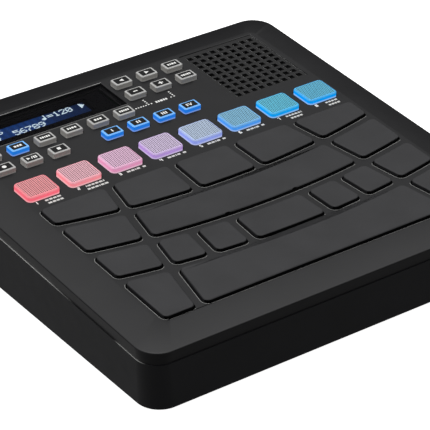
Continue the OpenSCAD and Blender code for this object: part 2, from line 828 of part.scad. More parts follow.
module main_board() {
    color(board_green) {
        difference() {
            box_at(0, main_board_rear - main_board_d / 2, main_board_z, main_board_w, main_board_d, board_t);
            board_corners() translate([0, 0, main_board_z - 1])
                cylinder(r = board_screw_r + 0.2, h = board_t + 2, $fn = 24);
        }
        box_at(-chip_x, main_board_rear - chip_in, main_board_top, chip_w, chip_w, chip_t);
        box_at(chip_x, main_board_rear - chip_in, main_board_top, 0.7 * chip_w, 0.7 * chip_w, chip_t);
        usb_shell(usb_a_x, usb_a);
        usb_shell(usb_c_x, usb_c);
        volume_pot();
        power_switch();
    }
}

module audio_jacks() {
    body_rear = wall_y(main_board_top) - wall - jack_in;
    color([0.1, 0.1, 0.1]) for (x = jack_xs) difference() {
        union() {
            box_at(x, body_rear - jack_body_d / 2, main_board_top,
                jack_w, jack_body_d, 2 * socket_up);
            translate([x, body_rear - jack_in, socket_z]) rotate([-90, 0, 0])
                cylinder(r = jack_r, h = socket_face - body_rear + jack_in, $fn = 32);
        }
        translate([x, socket_face - jack_depth, socket_z]) rotate([-90, 0, 0])
            cylinder(d = jack_bore, h = jack_depth + 1, $fn = 32);
    }
}

module battery_pack() {
    r = cell_d / 2;
    color([0.15, 0.3, 0.6]) translate([-cell_l / 2, battery_y, floor_z + r]) {
        for (y = [-r, r]) translate([0, y, 0]) rotate([0, 90, 0]) cylinder(r = r, h = cell_l, $fn = 48);
        translate([0, -r, -r]) cube([cell_l, cell_d, cell_d]);
    }
}

module volume_wheel() {
    r = wheel_d / 2;
    notches = 36;
    color([0.12, 0.12, 0.13]) translate([wheel_x, wheel_y, wheel_z - wheel_t / 2]) difference() {
        cylinder(r = r, h = wheel_t, $fn = 72);
        translate([0, 0, -1]) cylinder(r = spindle_r + spin_gap, h = wheel_t + 2, $fn = 32);
        for (k = [0:notches - 1]) rotate([0, 0, k * 360 / notches])
            translate([r, 0, -1]) rotate([0, 0, 45]) translate([-0.35, -0.35, 0])
                cube([0.7, 0.7, wheel_t + 2]);
    }
}

module power_button() {
    face = wall_y(power_z) + power_out;
    flange_y = wall_y(power_z) - wall - power_flange_gap;
    color([0.12, 0.12, 0.13]) {
        translate([power_x - power_w / 2, flange_y - 1, power_z - power_h / 2])
            cube([power_w, face - flange_y + 1, power_h]);
        translate([power_x - power_w / 2 - power_flange, flange_y - power_flange_t,
            power_z - power_h / 2 - power_flange])
            cube([power_w + 2 * power_flange, power_flange_t, power_h + 2 * power_flange]);
    }
}

top_cover();
bottom_case();
speaker_grille();
speaker_driver();
display_window();
lcd_module();
panel_board();
main_board();
audio_jacks();
battery_pack();
rubber_feet();
case_screws();
board_screws();
volume_wheel();
power_button();
for (i = [1:18]) drum_pad(i);
for (i = [1:lit_count]) lit_pad(i);
for (i = [1:19]) key(i);
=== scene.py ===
"""The drum machine's look: rounded edges, materials, printed marks, display, light and camera."""

import math

import bmesh
import bpy
from mathutils import Matrix, Vector


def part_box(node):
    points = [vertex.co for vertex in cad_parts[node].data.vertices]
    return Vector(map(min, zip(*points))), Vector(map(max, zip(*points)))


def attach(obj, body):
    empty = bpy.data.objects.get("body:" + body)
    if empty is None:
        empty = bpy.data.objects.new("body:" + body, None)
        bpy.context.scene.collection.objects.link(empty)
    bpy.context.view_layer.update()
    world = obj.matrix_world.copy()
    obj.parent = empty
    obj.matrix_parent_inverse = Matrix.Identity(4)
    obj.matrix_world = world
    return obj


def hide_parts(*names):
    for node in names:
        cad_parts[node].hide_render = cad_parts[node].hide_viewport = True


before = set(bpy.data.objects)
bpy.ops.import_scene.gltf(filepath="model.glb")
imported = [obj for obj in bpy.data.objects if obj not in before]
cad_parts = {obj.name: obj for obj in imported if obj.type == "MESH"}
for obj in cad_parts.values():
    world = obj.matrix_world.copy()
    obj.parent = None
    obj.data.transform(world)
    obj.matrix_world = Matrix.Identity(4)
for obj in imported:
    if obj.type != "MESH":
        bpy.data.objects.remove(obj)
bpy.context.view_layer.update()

MM = 0.001

# The panel's plane, as in part.scad: it rises towards the rear. A level is a height above it, and
# panel mm are places in it. BEVEL_LEVEL is the level of the sloping borders' outer edge.
TILT = math.radians(2.8)
PANEL_H = 50.8 * MM
BEVEL_LEVEL = -4.2
PANEL_Y = BEVEL_LEVEL * MM * math.sin(TILT)
TO_PANEL = Matrix.Translation((0, PANEL_Y, PANEL_H)) @ Matrix.Rotation(TILT, 4, "X")
FROM_PANEL = TO_PANEL.inverted()

DRUM_PADS = [f"drum_pad_{i}" for i in range(1, 19)]
LIT_PADS = [f"lit_pad_{i}" for i in range(1, 9)]
KEYS = [f"key_{i}" for i in range(1, 20)]
BLUE_KEYS = {8, 16, 17, 18, 19}
PAD_RISE, LIT_RISE, KEY_RISE = 1.8, 2.8, 2.8
PAD_CHAMFER, LIT_CHAMFER, KEY_CHAMFER = 0.4, 0.6, 0.3


# ---------------------------------------------------------------- materials

# Noise scales are per metre. The foot line's levels and the dots' pitch are in mm, and a dot's
# soft edge is given as shares of the pitch.
TONE_SCALE = 45.0
TONE_RANGE = (0.3, 0.7)
GLOSS_SCALE = 120.0
GLOSS_SHIFT = 0.05
GRAIN_DEPTH = 0.05 * MM
CLOUDINESS = 0.15
CLOUD_DEPTH = 2 * MM
FOOT_LINE_TOP, FOOT_LINE_FULL = 0.5, 0.3
DOT_PITCH = 1.15
DOT_EDGE = (0.3, 0.4)
DOT_DEPTH = 0.2 * MM


def material(name, color, rough=0.5, **sockets):
    mat = bpy.data.materials.new(name)
    mat.use_nodes = True
    bsdf = mat.node_tree.nodes["Principled BSDF"]
    bsdf.inputs["Base Color"].default_value = (*color, 1)
    bsdf.inputs["Roughness"].default_value = rough
    for key, value in sockets.items():
        bsdf.inputs[key.replace("_", " ")].default_value = value
    return mat


def node(mat, kind, **values):
    made = mat.node_tree.nodes.new(kind)
    for key, value in values.items():
        if hasattr(made, key):
            setattr(made, key, value)
        else:
            made.inputs[key.replace("_", " ")].default_value = value
    return made


def link(mat, a, b):
    mat.node_tree.links.new(a, b)


def bsdf_of(mat):
    return mat.node_tree.nodes["Principled BSDF"]


def coords(mat):
    return node(mat, "ShaderNodeTexCoord").outputs["Object"]


def noise(mat, scale, detail=3.0, rough=0.5):
    made = node(mat, "ShaderNodeTexNoise", Scale=scale, Detail=detail, Roughness=rough)
    link(mat, coords(mat), made.inputs["Vector"])
    return made.outputs["Fac"]


def mix_colors(mat, factor, low, high, target):
    ramp = node(mat, "ShaderNodeValToRGB")
    ramp.color_ramp.elements[0].position = TONE_RANGE[0]
    ramp.color_ramp.elements[1].position = TONE_RANGE[1]
    ramp.color_ramp.elements[0].color = (*low, 1)
    ramp.color_ramp.elements[1].color = (*high, 1)
    link(mat, factor, ramp.inputs["Fac"])
    link(mat, ramp.outputs["Color"], target)


def bump(mat, height, strength, distance):
    made = node(mat, "ShaderNodeBump", Strength=strength, Distance=distance)
    link(mat, height, made.inputs["Height"])
    link(mat, made.outputs["Normal"], bsdf_of(mat).inputs["Normal"])


def map_range(mat, value, low, high, low_out=0.0, high_out=1.0):
    made = node(
        mat, "ShaderNodeMapRange", From_Min=low, From_Max=high, To_Min=low_out, To_Max=high_out
    )
    link(mat, value, made.inputs["Value"])
    return made.outputs["Result"]


def vary_rough(mat, factor, low, high):
    link(mat, map_range(mat, factor, 0.0, 1.0, low, high), bsdf_of(mat).inputs["Roughness"])


def moulded(name, color, rough, grain=0.25, spec=0.5, size=2600.0, shift=0.12):
    """Moulded plastic or rubber: a fine spark-eroded grain, with slow changes in tone and gloss."""
    mat = material(name, color, rough, Specular_IOR_Level=spec)
    tone = noise(mat, TONE_SCALE, 4.0)
    low = tuple(c * (1 - shift) for c in color)
    high = tuple(c * (1 + shift) for c in color)
    mix_colors(mat, tone, low, high, bsdf_of(mat).inputs["Base Color"])
    vary_rough(mat, noise(mat, GLOSS_SCALE, 3.0), rough - GLOSS_SHIFT, rough + GLOSS_SHIFT)
    bump(mat, noise(mat, size, 2.0), grain, GRAIN_DEPTH)
    return mat


def lit_material(name, color, glow, rough=0.4, grain=0.15, spec=0.45):
    """Cloudy plastic lit from below."""
    mat = moulded(name, color, rough, grain, spec, 1800.0, 0.05)
    bsdf_of(mat).inputs["Emission Color"].default_value = (*color, 1)
    bsdf_of(mat).inputs["Emission Strength"].default_value = glow
    bsdf_of(mat).inputs["Subsurface Weight"].default_value = CLOUDINESS
    bsdf_of(mat).inputs["Subsurface Radius"].default_value = (CLOUD_DEPTH,) * 3
    return mat


def foot_glow(mat, side, pale):
    """A line round the foot, where the light comes out: the side's colour, paler by a share."""
    foot = tuple(c + pale * (1 - c) for c in side)
    up = node(mat, "ShaderNodeVectorMath", operation="DOT_PRODUCT")
    link(mat, coords(mat), up.inputs[0])
    up.inputs[1].default_value = (0, -math.sin(TILT), math.cos(TILT))
    base = PANEL_H * math.cos(TILT) - PANEL_Y * math.sin(TILT)
    line_top, line_full = base + FOOT_LINE_TOP * MM, base + FOOT_LINE_FULL * MM
    share = map_range(mat, up.outputs["Value"], line_top, line_full)
    ramp = node(mat, "ShaderNodeValToRGB")
    ramp.color_ramp.elements[0].color = (*side, 1)
    ramp.color_ramp.elements[1].color = (*foot, 1)
    link(mat, share, ramp.inputs["Fac"])
    link(mat, ramp.outputs["Color"], bsdf_of(mat).inputs["Emission Color"])
    return mat


def dotted_material(name, base, dark, glow):
    """The lit pad's top: a square grid of small dark dots in a paler skin."""
    mat = material(name, base, 0.55, Specular_IOR_Level=0.4)
    scaled = node(mat, "ShaderNodeVectorMath", operation="SCALE", Scale=1 / (DOT_PITCH * MM))
    link(mat, coords(mat), scaled.inputs[0])
    cell = node(mat, "ShaderNodeVectorMath", operation="FRACTION")
    link(mat, scaled.outputs["Vector"], cell.inputs[0])
    centred = node(mat, "ShaderNodeVectorMath", operation="SUBTRACT")
    centred.inputs[1].default_value = (0.5, 0.5, 0)
    link(mat, cell.outputs["Vector"], centred.inputs[0])
    flat = node(mat, "ShaderNodeVectorMath", operation="MULTIPLY")
    flat.inputs[1].default_value = (1, 1, 0)
    link(mat, centred.outputs["Vector"], flat.inputs[0])
    length = node(mat, "ShaderNodeVectorMath", operation="LENGTH")
    link(mat, flat.outputs["Vector"], length.inputs[0])
    ramp = node(mat, "ShaderNodeValToRGB")
    ramp.color_ramp.elements[0].position = DOT_EDGE[0]
    ramp.color_ramp.elements[1].position = DOT_EDGE[1]
    ramp.color_ramp.elements[0].color = (*dark, 1)
    ramp.color_ramp.elements[1].color = (*base, 1)
    link(mat, length.outputs["Value"], ramp.inputs["Fac"])
    link(mat, ramp.outputs["Color"], bsdf_of(mat).inputs["Base Color"])
    link(mat, ramp.outputs["Color"], bsdf_of(mat).inputs["Emission Color"])
    bsdf_of(mat).inputs["Emission Strength"].default_value = glow
    bump(mat, map_range(mat, length.outputs["Value"], *DOT_EDGE), 0.5, DOT_DEPTH)
    return mat


def srgb(r, g, b):
    """A linear colour from 0-255 screen values."""

    def one(v):
        v /= 255
        return v / 12.92 if v <= 0.04045 else ((v + 0.055) / 1.055) ** 2.4

    return (one(r), one(g), one(b))


def combine(mat, kind, a, b):
    """A maths node of two inputs, where b is a socket or a number."""
    made = node(mat, "ShaderNodeMath", operation=kind)
    link(mat, a, made.inputs[0])
    if isinstance(b, float):
        made.inputs[1].default_value = b
    else:
        link(mat, b, made.inputs[1])
    return made.outputs["Value"]


def ink(name, color, glow):
    """Printed marks, lit a little so that they stay clear at their small size."""
    mat = moulded(name, color, 0.6, 0.1, 0.3, 1500.0, 0.02)
    bsdf_of(mat).inputs["Emission Color"].default_value = (1, 1, 1, 1)
    bsdf_of(mat).inputs["Emission Strength"].default_value = glow
    return mat


# The seam's ledge has a painted highlight. In metres: where it starts and is full on the left side,
# where its bright rear part starts and is full, and the middle, reach and full part of the bright
# front part
LEDGE_HIGHLIGHT_X = (-0.121, -0.1245)
REAR_HIGHLIGHT_Y = (-0.056, -0.03)
FRONT_HIGHLIGHT_Y = -0.107
FRONT_HIGHLIGHT_REACH = (0.013, 0.008)
FRONT_HIGHLIGHT_MOST = 0.7
FAINT_HIGHLIGHT_SHARE = 0.3


def painted_seam_highlight(name, dull, faint_highlight, bright):
    """The seam's ledge with a painted highlight: faint along the left side, bright there at the
    rear and the front.
    """
    mat = moulded(name, dull, 0.35, 0.1, 0.5)
    split = node(mat, "ShaderNodeSeparateXYZ")
    link(mat, coords(mat), split.inputs["Vector"])
    x, y = split.outputs["X"], split.outputs["Y"]
    left = map_range(mat, x, *LEDGE_HIGHLIGHT_X)
    rear = map_range(mat, y, *REAR_HIGHLIGHT_Y)
    off_front = combine(mat, "ABSOLUTE", combine(mat, "SUBTRACT", y, FRONT_HIGHLIGHT_Y), 0.0)
    front = map_range(mat, off_front, *FRONT_HIGHLIGHT_REACH, 0.0, FRONT_HIGHLIGHT_MOST)
    highlight = map_range(mat, combine(mat, "MAXIMUM", rear, front), 0.0, 1.0, FAINT_HIGHLIGHT_SHARE, 1.0)
    ramp = node(mat, "ShaderNodeValToRGB")
    ramp.color_ramp.elements[0].color = (*dull, 1)
    ramp.color_ramp.elements[1].color = (*bright, 1)
    ramp.color_ramp.elements.new(FAINT_HIGHLIGHT_SHARE).color = (*faint_highlight, 1)
    link(mat, combine(mat, "MULTIPLY", highlight, left), ramp.inputs["Fac"])
    link(mat, ramp.outputs["Color"], bsdf_of(mat).inputs["Base Color"])
    return mat


COVER = moulded("cover_plastic", srgb(32, 32, 34), 0.32, 0.3, 0.6)
# Painted highlight: a light copy of the cover's plastic on the lips beside some rims
COVER_RIM_HIGHLIGHT = moulded("cover_rim_highlight", srgb(158, 158, 156), 0.35, 0.1, 0.5)
# Painted shade: a darker, less glossy copy of the cover's plastic on the rear border
COVER_REAR_SHADE = moulded("cover_rear_shade", srgb(31, 31, 33), 0.32, 0.3, 0.33)
# Painted highlight: near white on the lip at the window's rear
WINDOW_RIM_HIGHLIGHT = moulded("window_rim_highlight", srgb(240, 240, 238), 0.35, 0.1, 0.5)
CASE = moulded("case_plastic", srgb(31, 31, 34), 0.42, 0.3, 0.5)
# The ledge's own tone, then its faint and its bright painted highlight
CASE_SEAM_HIGHLIGHT = painted_seam_highlight("case_seam_highlight", srgb(31, 31, 34), srgb(48, 48, 50), srgb(225, 225, 223))
PAD = moulded("pad_rubber", srgb(60, 60, 62), 0.5, 0.2, 0.5, 3200.0)
# Painted shade: the drum pads' sides near black; painted light: their left sides lighter
PAD_SIDE_SHADE = moulded("pad_side_shade", srgb(12, 12, 13), 0.7, 0.1, 0.1)
PAD_LEFT_SIDE_LIT = moulded("pad_left_side_lit", srgb(44, 44, 46), 0.6, 0.1, 0.3)
GRILLE = moulded("grille_plastic", srgb(37, 37, 38), 0.42, 0.25, 0.5)
# Painted highlight on the grille holes' rims
GRILLE_RIM_HIGHLIGHT = moulded("grille_rim", srgb(190, 190, 190), 0.4, 0.1, 0.5)
GREY_SIDE = srgb(181, 179, 174)
BLUE_SIDE = srgb(36, 132, 240)
KEY_GREY = lit_material("key_grey", GREY_SIDE, 0.1, 0.38)
foot_glow(KEY_GREY, GREY_SIDE, 0.5)
# Painted highlight: grey keys' tops and top rims lighter than their sides
KEY_GREY_TOP_HIGHLIGHT = lit_material("key_grey_top_highlight", srgb(205, 205, 203), 0.08, 0.38)
KEY_BLUE = lit_material("key_blue", BLUE_SIDE, 0.56, 0.45, 0.15, 0.2)
foot_glow(KEY_BLUE, BLUE_SIDE, 0.25)
# Painted highlight: blue keys' tops and top rims lighter than their sides
KEY_BLUE_TOP_HIGHLIGHT = lit_material("key_blue_top_highlight", srgb(120, 185, 250), 0.4, 0.38)
LABEL = moulded("label_ink", srgb(12, 12, 13), 0.45, 0.1, 0.4)
INK = ink("white_ink", srgb(250, 250, 246), 0.25)
CAPTION_INK = ink("caption_ink", srgb(228, 228, 224), 0.12)
SPEAKER = moulded("speaker_paper", srgb(22, 22, 22), 0.8, 0.5, 0.2, 1200.0)
BOARD = moulded("board_mask", srgb(18, 82, 46), 0.35, 0.15)
CHIP = moulded("chip_black", srgb(24, 24, 26), 0.5, 0.2)
SOCKET = moulded("socket_plastic", srgb(24, 24, 26), 0.45, 0.2)
WRAP = moulded("battery_wrap", srgb(30, 80, 160), 0.3, 0.1)
FOOT = moulded("foot_rubber", srgb(26, 26, 26), 0.8, 0.5, 0.3, 1500.0)
STEEL = moulded("plated_steel", srgb(190, 190, 194), 0.3, 0.1)
bsdf_of(STEEL).inputs["Metallic"].default_value = 1.0
WINDOW = moulded("window_smoke", (0.002, 0.002, 0.003), 0.1, 0.0, 0.08)
bsdf_of(WINDOW).inputs["Alpha"].default_value = 0.35
LCD_FRAME = moulded("lcd_frame", srgb(3, 3, 4), 0.6, 0.0, 0.1)
LCD_RING = moulded("lcd_ring", srgb(26, 25, 30), 0.6, 0.0, 0.1)

LIT_SIDES = [
    srgb(248, 108, 125),
    srgb(240, 139, 149),
    srgb(220, 146, 184),
    srgb(175, 142, 211),
    srgb(140, 156, 230),
    srgb(74, 150, 235),
    srgb(10, 157, 240),
    srgb(4, 152, 243),
]
# Mean tones of the dotted tops, dots included
LIT_TOPS = [
    srgb(216, 138, 142),
    srgb(207, 160, 170),
    srgb(202, 166, 190),
    srgb(187, 172, 198),
    srgb(164, 179, 200),
    srgb(117, 167, 194),
    srgb(88, 171, 196),
    srgb(88, 164, 193),
]
DOT_SHARE = 0.36
DOT_DARK = 0.02


# ---------------------------------------------------------------- pieces

# Angles are in degrees, and lengths in mm
FLAT_ANGLE = 0.4
SMOOTH_ANGLE = 35
RIM_ANGLE = 40
BORDER_ANGLE = 20
CASE_ANGLE = 25
CAP_ANGLE = 20

# Shares of a face's unit normal along the panel's axes, which tell which way it faces
LOOKS_UP = 0.9
STEEP = 0.3
FACES_LEFT, FACES_RIGHT, FACES_FRONT = -0.6, 0.3, -0.5


def cad_copy(name):
    """The CAD node's mesh with flat regions joined up again."""
    bm = bmesh.new()
    bm.from_mesh(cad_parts[name].data)
    bmesh.ops.remove_doubles(bm, verts=bm.verts, dist=1e-6)
    bmesh.ops.dissolve_limit(
        bm, angle_limit=math.radians(FLAT_ANGLE), verts=bm.verts, edges=bm.edges
    )
    bm.normal_update()
    return bm


def level(vert):
    """Height above the flat panel in mm."""
    return (FROM_PANEL @ vert.co).z / MM


def sharp(edge, degrees):
    return len(edge.link_faces) == 2 and edge.calc_face_angle(0) > math.radians(degrees)


def round_edges(bm, edges, width, segments, slot=0):
    made = bmesh.ops.bevel(
        bm,
        geom=edges,
        offset=width * MM,
        offset_type="OFFSET",
        segments=segments,
        profile=0.5,
        affect="EDGES",
        clamp_overlap=True,
    )
    for face in made["faces"]:
        face.material_index = slot


def piece(bm, name, materials, body, replaced=()):
    """A visible piece on its body. Its large faces are shaded flat, up to the rounded edges."""
    mesh = bpy.data.meshes.new(name)
    bm.to_mesh(mesh)
    bm.free()
    for mat in materials:
        mesh.materials.append(mat)
    mesh.set_sharp_from_angle(angle=math.radians(SMOOTH_ANGLE))
    obj = bpy.data.objects.new(name, mesh)
    bpy.context.scene.collection.objects.link(obj)
    shading = obj.modifiers.new("flat_faces_first", "WEIGHTED_NORMAL")
    shading.keep_sharp = True
    shading.weight = 100
    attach(obj, body)
    if replaced:
        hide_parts(*replaced)
    return obj


def paint(name, *materials):
    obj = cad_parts[name]
    obj.data.materials.clear()
    for mat in materials:
        obj.data.materials.append(mat)


def panel_normal(face):
    return FROM_PANEL.to_3x3() @ face.normal


def reach(vert):
    """Distance from the middle of the case along x or y, whichever is more, in mm."""
    return max(abs(vert.co.x), abs(vert.co.y)) / MM


def within(face, low, high):
    """Whether all corners of a face are between two levels."""
    return all(low < level(v) < high for v in face.verts)


# The cover's places in panel mm, and how its faces and edges are told apart
PADS_REAR_Y = 14
WINDOW_FRONT_Y = 77
PANEL_TOP = -0.05
LEVEL_STEP = 0.05
BORDER_EDGE = (-4.4, -3.5)
BORDER = (-4.4, 0.01)
BORDER_REACH = 122.5
# Where the rear border's painted shade goes
REAR_BORDER_Y = 100
REAR_LEAN = 0.04
# The speaker bay under the grille is painted near black as shade
SPEAKER_BAY = (-9, -0.9)
HIGHLIGHT_TURN = 0.05
# The lips beside some rims carry painted highlights
LIP_WIDTH, LIP_ROUND = 0.5, 0.15
OPENING_ROUND, BORDER_ROUND = 0.3, 0.33
RIM_HIGHLIGHT_SLOT, REAR_SHADE_SLOT, BAY_SHADE_SLOT, WINDOW_HIGHLIGHT_SLOT = 1, 2, 3, 4


def catches_light(edge):
    """Rims of the drum pads' openings and of the window, where lips with painted highlights go."""
    at = FROM_PANEL @ ((edge.verts[0].co + edge.verts[1].co) / 2) / MM
    return at.y < PADS_REAR_Y or (at.x < 0 and at.y > WINDOW_FRONT_Y)


def lips(bm, edges):
    """A thin lip beside each rim, then its rounding.

    A lip gets a painted highlight where the wall below it faces the rear or the right, and a
    brighter painted highlight at the window's rear, where the wall faces the front.
    """
    made = bmesh.ops.bevel(
        bm,
        geom=edges,
        offset=LIP_WIDTH * MM,
        offset_type="OFFSET",
        segments=2,
        profile=1.0,
        affect="EDGES",
    )
    bm.normal_update()
    rims = set()
    for face in made["faces"]:
        if panel_normal(face).z < LOOKS_UP:
            continue
        for edge in face.edges:
            if not sharp(edge, RIM_ANGLE):
                continue
            rims.add(edge)
            wall = next(f for f in edge.link_faces if f is not face)
            away = panel_normal(wall)
            at = FROM_PANEL @ face.calc_center_median() / MM
            # Painted highlights: brightest at the window's rear, lighter where the wall faces the
            # rear or the right
            if at.y > WINDOW_FRONT_Y and away.y < FACES_FRONT:
                face.material_index = WINDOW_HIGHLIGHT_SLOT
            elif away.x + away.y > HIGHLIGHT_TURN:
                face.material_index = RIM_HIGHLIGHT_SLOT
    round_edges(bm, list(rims), LIP_ROUND, 2)


def dress_cover():
    bm = cad_copy("top_cover")
    rims = [
        e
        for e in bm.edges
        if sharp(e, RIM_ANGLE) and all(level(v) > PANEL_TOP for v in e.verts)
    ]
    bright = [e for e in rims if catches_light(e)]
    plain = [e for e in rims if not catches_light(e)]
    round_edges(bm, plain, OPENING_ROUND, 3)
    lips(bm, bright)
    outer = [
        e
        for e in bm.edges
        if sharp(e, BORDER_ANGLE)
        and all(BORDER_EDGE[0] < level(v) < BORDER_EDGE[1] for v in e.verts)
        and all(reach(v) > BORDER_REACH for v in e.verts)
        and abs(level(e.verts[0]) - level(e.verts[1])) < LEVEL_STEP
    ]
    round_edges(bm, outer, BORDER_ROUND, 3)
    bm.normal_update()
    low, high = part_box("speaker_grille")
    for face in bm.faces:
        at = face.calc_center_median()
        normal = panel_normal(face)
        # Painted shade on the rear border
        rear = at.y > REAR_BORDER_Y * MM and normal.y > REAR_LEAN and normal.z > LOOKS_UP
        if rear and within(face, *BORDER):
            face.material_index = REAR_SHADE_SLOT
        # Painted shade: the bay's floor under the grille takes the near-black pad side material
        under = all(low[k] - MM < at[k] < high[k] + MM for k in (0, 1))
        if under and normal.z > 0.5 and within(face, *SPEAKER_BAY):
            face.material_index = BAY_SHADE_SLOT
    mats = [COVER, COVER_RIM_HIGHLIGHT, COVER_REAR_SHADE, PAD_SIDE_SHADE, WINDOW_RIM_HIGHLIGHT]
    piece(bm, "cover_shell", mats, "case", ["top_cover"])


# The case's outer walls, the levels of its ledge at the seam, and the height of its lower edge
CASE_REACH = 120
LEDGE_LEVEL = -14
LOWER_EDGE_Z = 4
CASE_ROUND = 0.2


def dress_bottom():
    bm = cad_copy("bottom_case")
    edges = [
        e
        for e in bm.edges
        if sharp(e, CASE_ANGLE)
        and all(reach(v) > CASE_REACH for v in e.verts)
        and all(v.co.z < LOWER_EDGE_Z * MM or level(v) > LEDGE_LEVEL for v in e.verts)
    ]
    round_edges(bm, edges, CASE_ROUND, 2)
    bm.normal_update()
    # Upward faces of the ledge at the seam take the painted highlight
    for face in bm.faces:
        outside = all(reach(v) > CASE_REACH for v in face.verts)
        seam = all(level(v) > LEDGE_LEVEL for v in face.verts)
        if outside and seam and panel_normal(face).z > STEEP:
            face.material_index = 1
    piece(bm, "case_shell", [CASE, CASE_SEAM_HIGHLIGHT], "case", ["bottom_case"])


CAP_ROUND, KEY_ROUND = 0.22, 0.11
CAP_TOP_LEVEL = 1
CAP_STEP = 0.02
DOT_MARGIN = 0.15


def rounded_cap(name, rise, chamfer, width, segments):
    """A pad's or key's mesh with its top chamfer rounded."""
    bm = cad_copy(name)
    edges = [
        e
        for e in bm.edges
        if all(level(v) > rise - chamfer - CAP_STEP for v in e.verts)
        and abs(level(e.verts[0]) - level(e.verts[1])) < CAP_STEP
        and sharp(e, CAP_ANGLE)
    ]
    round_edges(bm, edges, width, segments)
    bm.normal_update()
    return bm


def on_top(face):
    """Whether a face belongs to the top of a cap or to its rounded rim."""
    return panel_normal(face).z > STEEP and all(level(v) > CAP_TOP_LEVEL for v in face.verts)


def dress_drum_pads():
    """Grey tops, sides painted near black as shade, and the left sides painted lighter as if lit.
    """
    for name in DRUM_PADS:
        bm = rounded_cap(name, PAD_RISE, PAD_CHAMFER, CAP_ROUND, 3)
        for face in bm.faces:
            normal = panel_normal(face)
            left = normal.x < FACES_LEFT and normal.y > FACES_FRONT
            # Sides and the flange below the panel take the painted shade, left-facing sides the
            # painted light
            if abs(normal.z) < STEEP or all(level(v) < 0 for v in face.verts):
                face.material_index = 2 if left else 1
        piece(bm, name + "_cap", [PAD, PAD_SIDE_SHADE, PAD_LEFT_SIDE_LIT], name, [name])


def dress_lit_pads():
    """Coloured sides, a paler rim and the dotted top inside it."""
    for i, name in enumerate(LIT_PADS):
        bm = rounded_cap(name, LIT_RISE, LIT_CHAMFER, CAP_ROUND, 3)
        for face in bm.faces:
            if on_top(face):
                face.material_index = 2
        flat = [f for f in bm.faces if f.normal.z > 0.99]
        top = [f for f in flat if level(f.verts[0]) > LIT_RISE - 0.01]
        bmesh.ops.inset_region(bm, faces=top, thickness=DOT_MARGIN * MM, use_even_offset=True)
        for face in top:
            face.material_index = 1
        side, mean = LIT_SIDES[i], LIT_TOPS[i]
        dark = tuple(DOT_DARK * c for c in mean)
        pale = tuple(min((c - DOT_SHARE * d) / (1 - DOT_SHARE), 1.0) for c, d in zip(mean, dark))
        rim = tuple((a + b) / 2 for a, b in zip(side, pale))
        flank = lit_material(f"lit_side_{i + 1}", side, 0.78, 0.5, 0.15, 0.15)
        mats = [
            foot_glow(flank, side, 0.3),
            dotted_material(f"lit_top_{i + 1}", pale, dark, 0.3),
            lit_material(f"lit_rim_{i + 1}", rim, 0.4, 0.4),
        ]
        cap = piece(bm, name + "_cap", mats, name, [name])
        cap.visible_glossy = False


def prism(bm, outline, low, high):
    """A closed flat solid from an outline in panel mm, from level low to level high."""
    bottom = [bm.verts.new(TO_PANEL @ Vector((x * MM, y * MM, low * MM))) for x, y in outline]
    top = [bm.verts.new(TO_PANEL @ Vector((x * MM, y * MM, high * MM))) for x, y in outline]
    n = len(outline)
    bm.faces.new(top)
    bm.faces.new(bottom[::-1])
    for k in range(n):
        bm.faces.new([bottom[k], bottom[(k + 1) % n], top[(k + 1) % n], top[k]])


def rect(x, y, w, d):
    return [
        (x - w / 2, y - d / 2),
        (x + w / 2, y - d / 2),
        (x + w / 2, y + d / 2),
        (x - w / 2, y + d / 2),
    ]


def round_rect(x, y, w, d, r, n=5):
    points = []
    for k, (sx, sy) in enumerate([(1, -1), (1, 1), (-1, 1), (-1, -1)]):
        for j in range(n + 1):
            a = math.radians(-90 + 90 * k + 90 * j / n)
            points.append(
                (
                    x + sx * (w / 2 - r) + r * math.cos(a),
                    y + sy * (d / 2 - r) + r * math.sin(a),
                )
            )
    return points


def disc(x, y, r, n=20):
    return [
        (x + r * math.cos(2 * math.pi * k / n), y + r * math.sin(2 * math.pi * k / n))
        for k in range(n)
    ]


def key_centre(name):
    low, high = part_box(name)
    centre = FROM_PANEL @ ((low + high) / 2)
    return centre.x / MM, centre.y / MM


def blocks(widths, height, gap=0.5):
    """A row of plain blocks centred on the origin; a negative width leaves a space."""
    x = -(sum(abs(w) for w in widths) + gap * (len(widths) - 1)) / 2
    row = []
    for w in widths:
        if w > 0:
            row.append(rect(x + w / 2, 0, w, height))
        x += abs(w) + gap
    return row


SYMBOLS = {
    "left": [[(-1.5, 0), (1.2, -1.3), (1.2, 1.3)]],
    "right": [[(1.5, 0), (-1.2, 1.3), (-1.2, -1.3)]],
    "plus": [rect(0, 0, 3.2, 0.8), rect(0, 0.9, 0.8, 1.0), rect(0, -0.9, 0.8, 1.0)],
    "minus": [rect(0, 0, 2.8, 0.8)],
    "record": [disc(0, 0, 1.3)],
    "stop": [rect(0, 0, 2.2, 2.2)],
    "play": [
        [(-0.9, 0), (-3.1, 1.2), (-3.1, -1.2)],
        [(-0.55, -1.2), (0.0, -1.2), (0.75, 1.2), (0.2, 1.2)],
        rect(1.45, 0, 0.8, 2.4),
        rect(2.7, 0, 0.8, 2.4),
    ],
    "one": [rect(0, 0, 0.8, 2.4)],
    "two": [rect(-0.8, 0, 0.8, 2.4), rect(0.8, 0, 0.8, 2.4)],
    "three": [rect(-1.4, 0, 0.8, 2.4), rect(0, 0, 0.8, 2.4), rect(1.4, 0, 0.8, 2.4)],
    "four": [
        rect(-1.8, 0, 0.8, 2.4),
        [(-1.0, 1.2), (0.15, -1.2), (0.65, -1.2), (-0.3, 1.2)],
        [(0.65, -1.2), (0.75, -1.2), (1.8, 1.2), (1.1, 1.2), (0.42, -0.6)],
    ],
    "four_blocks": blocks([1.1, 0.8, 1.3, 1.1], 1.7),
    "five_blocks": blocks([0.9, 1.1, 0.7, 1.1, 0.9], 1.7, 0.4),
    "three_blocks": blocks([1.4, 1.1, 1.4], 1.7),
}
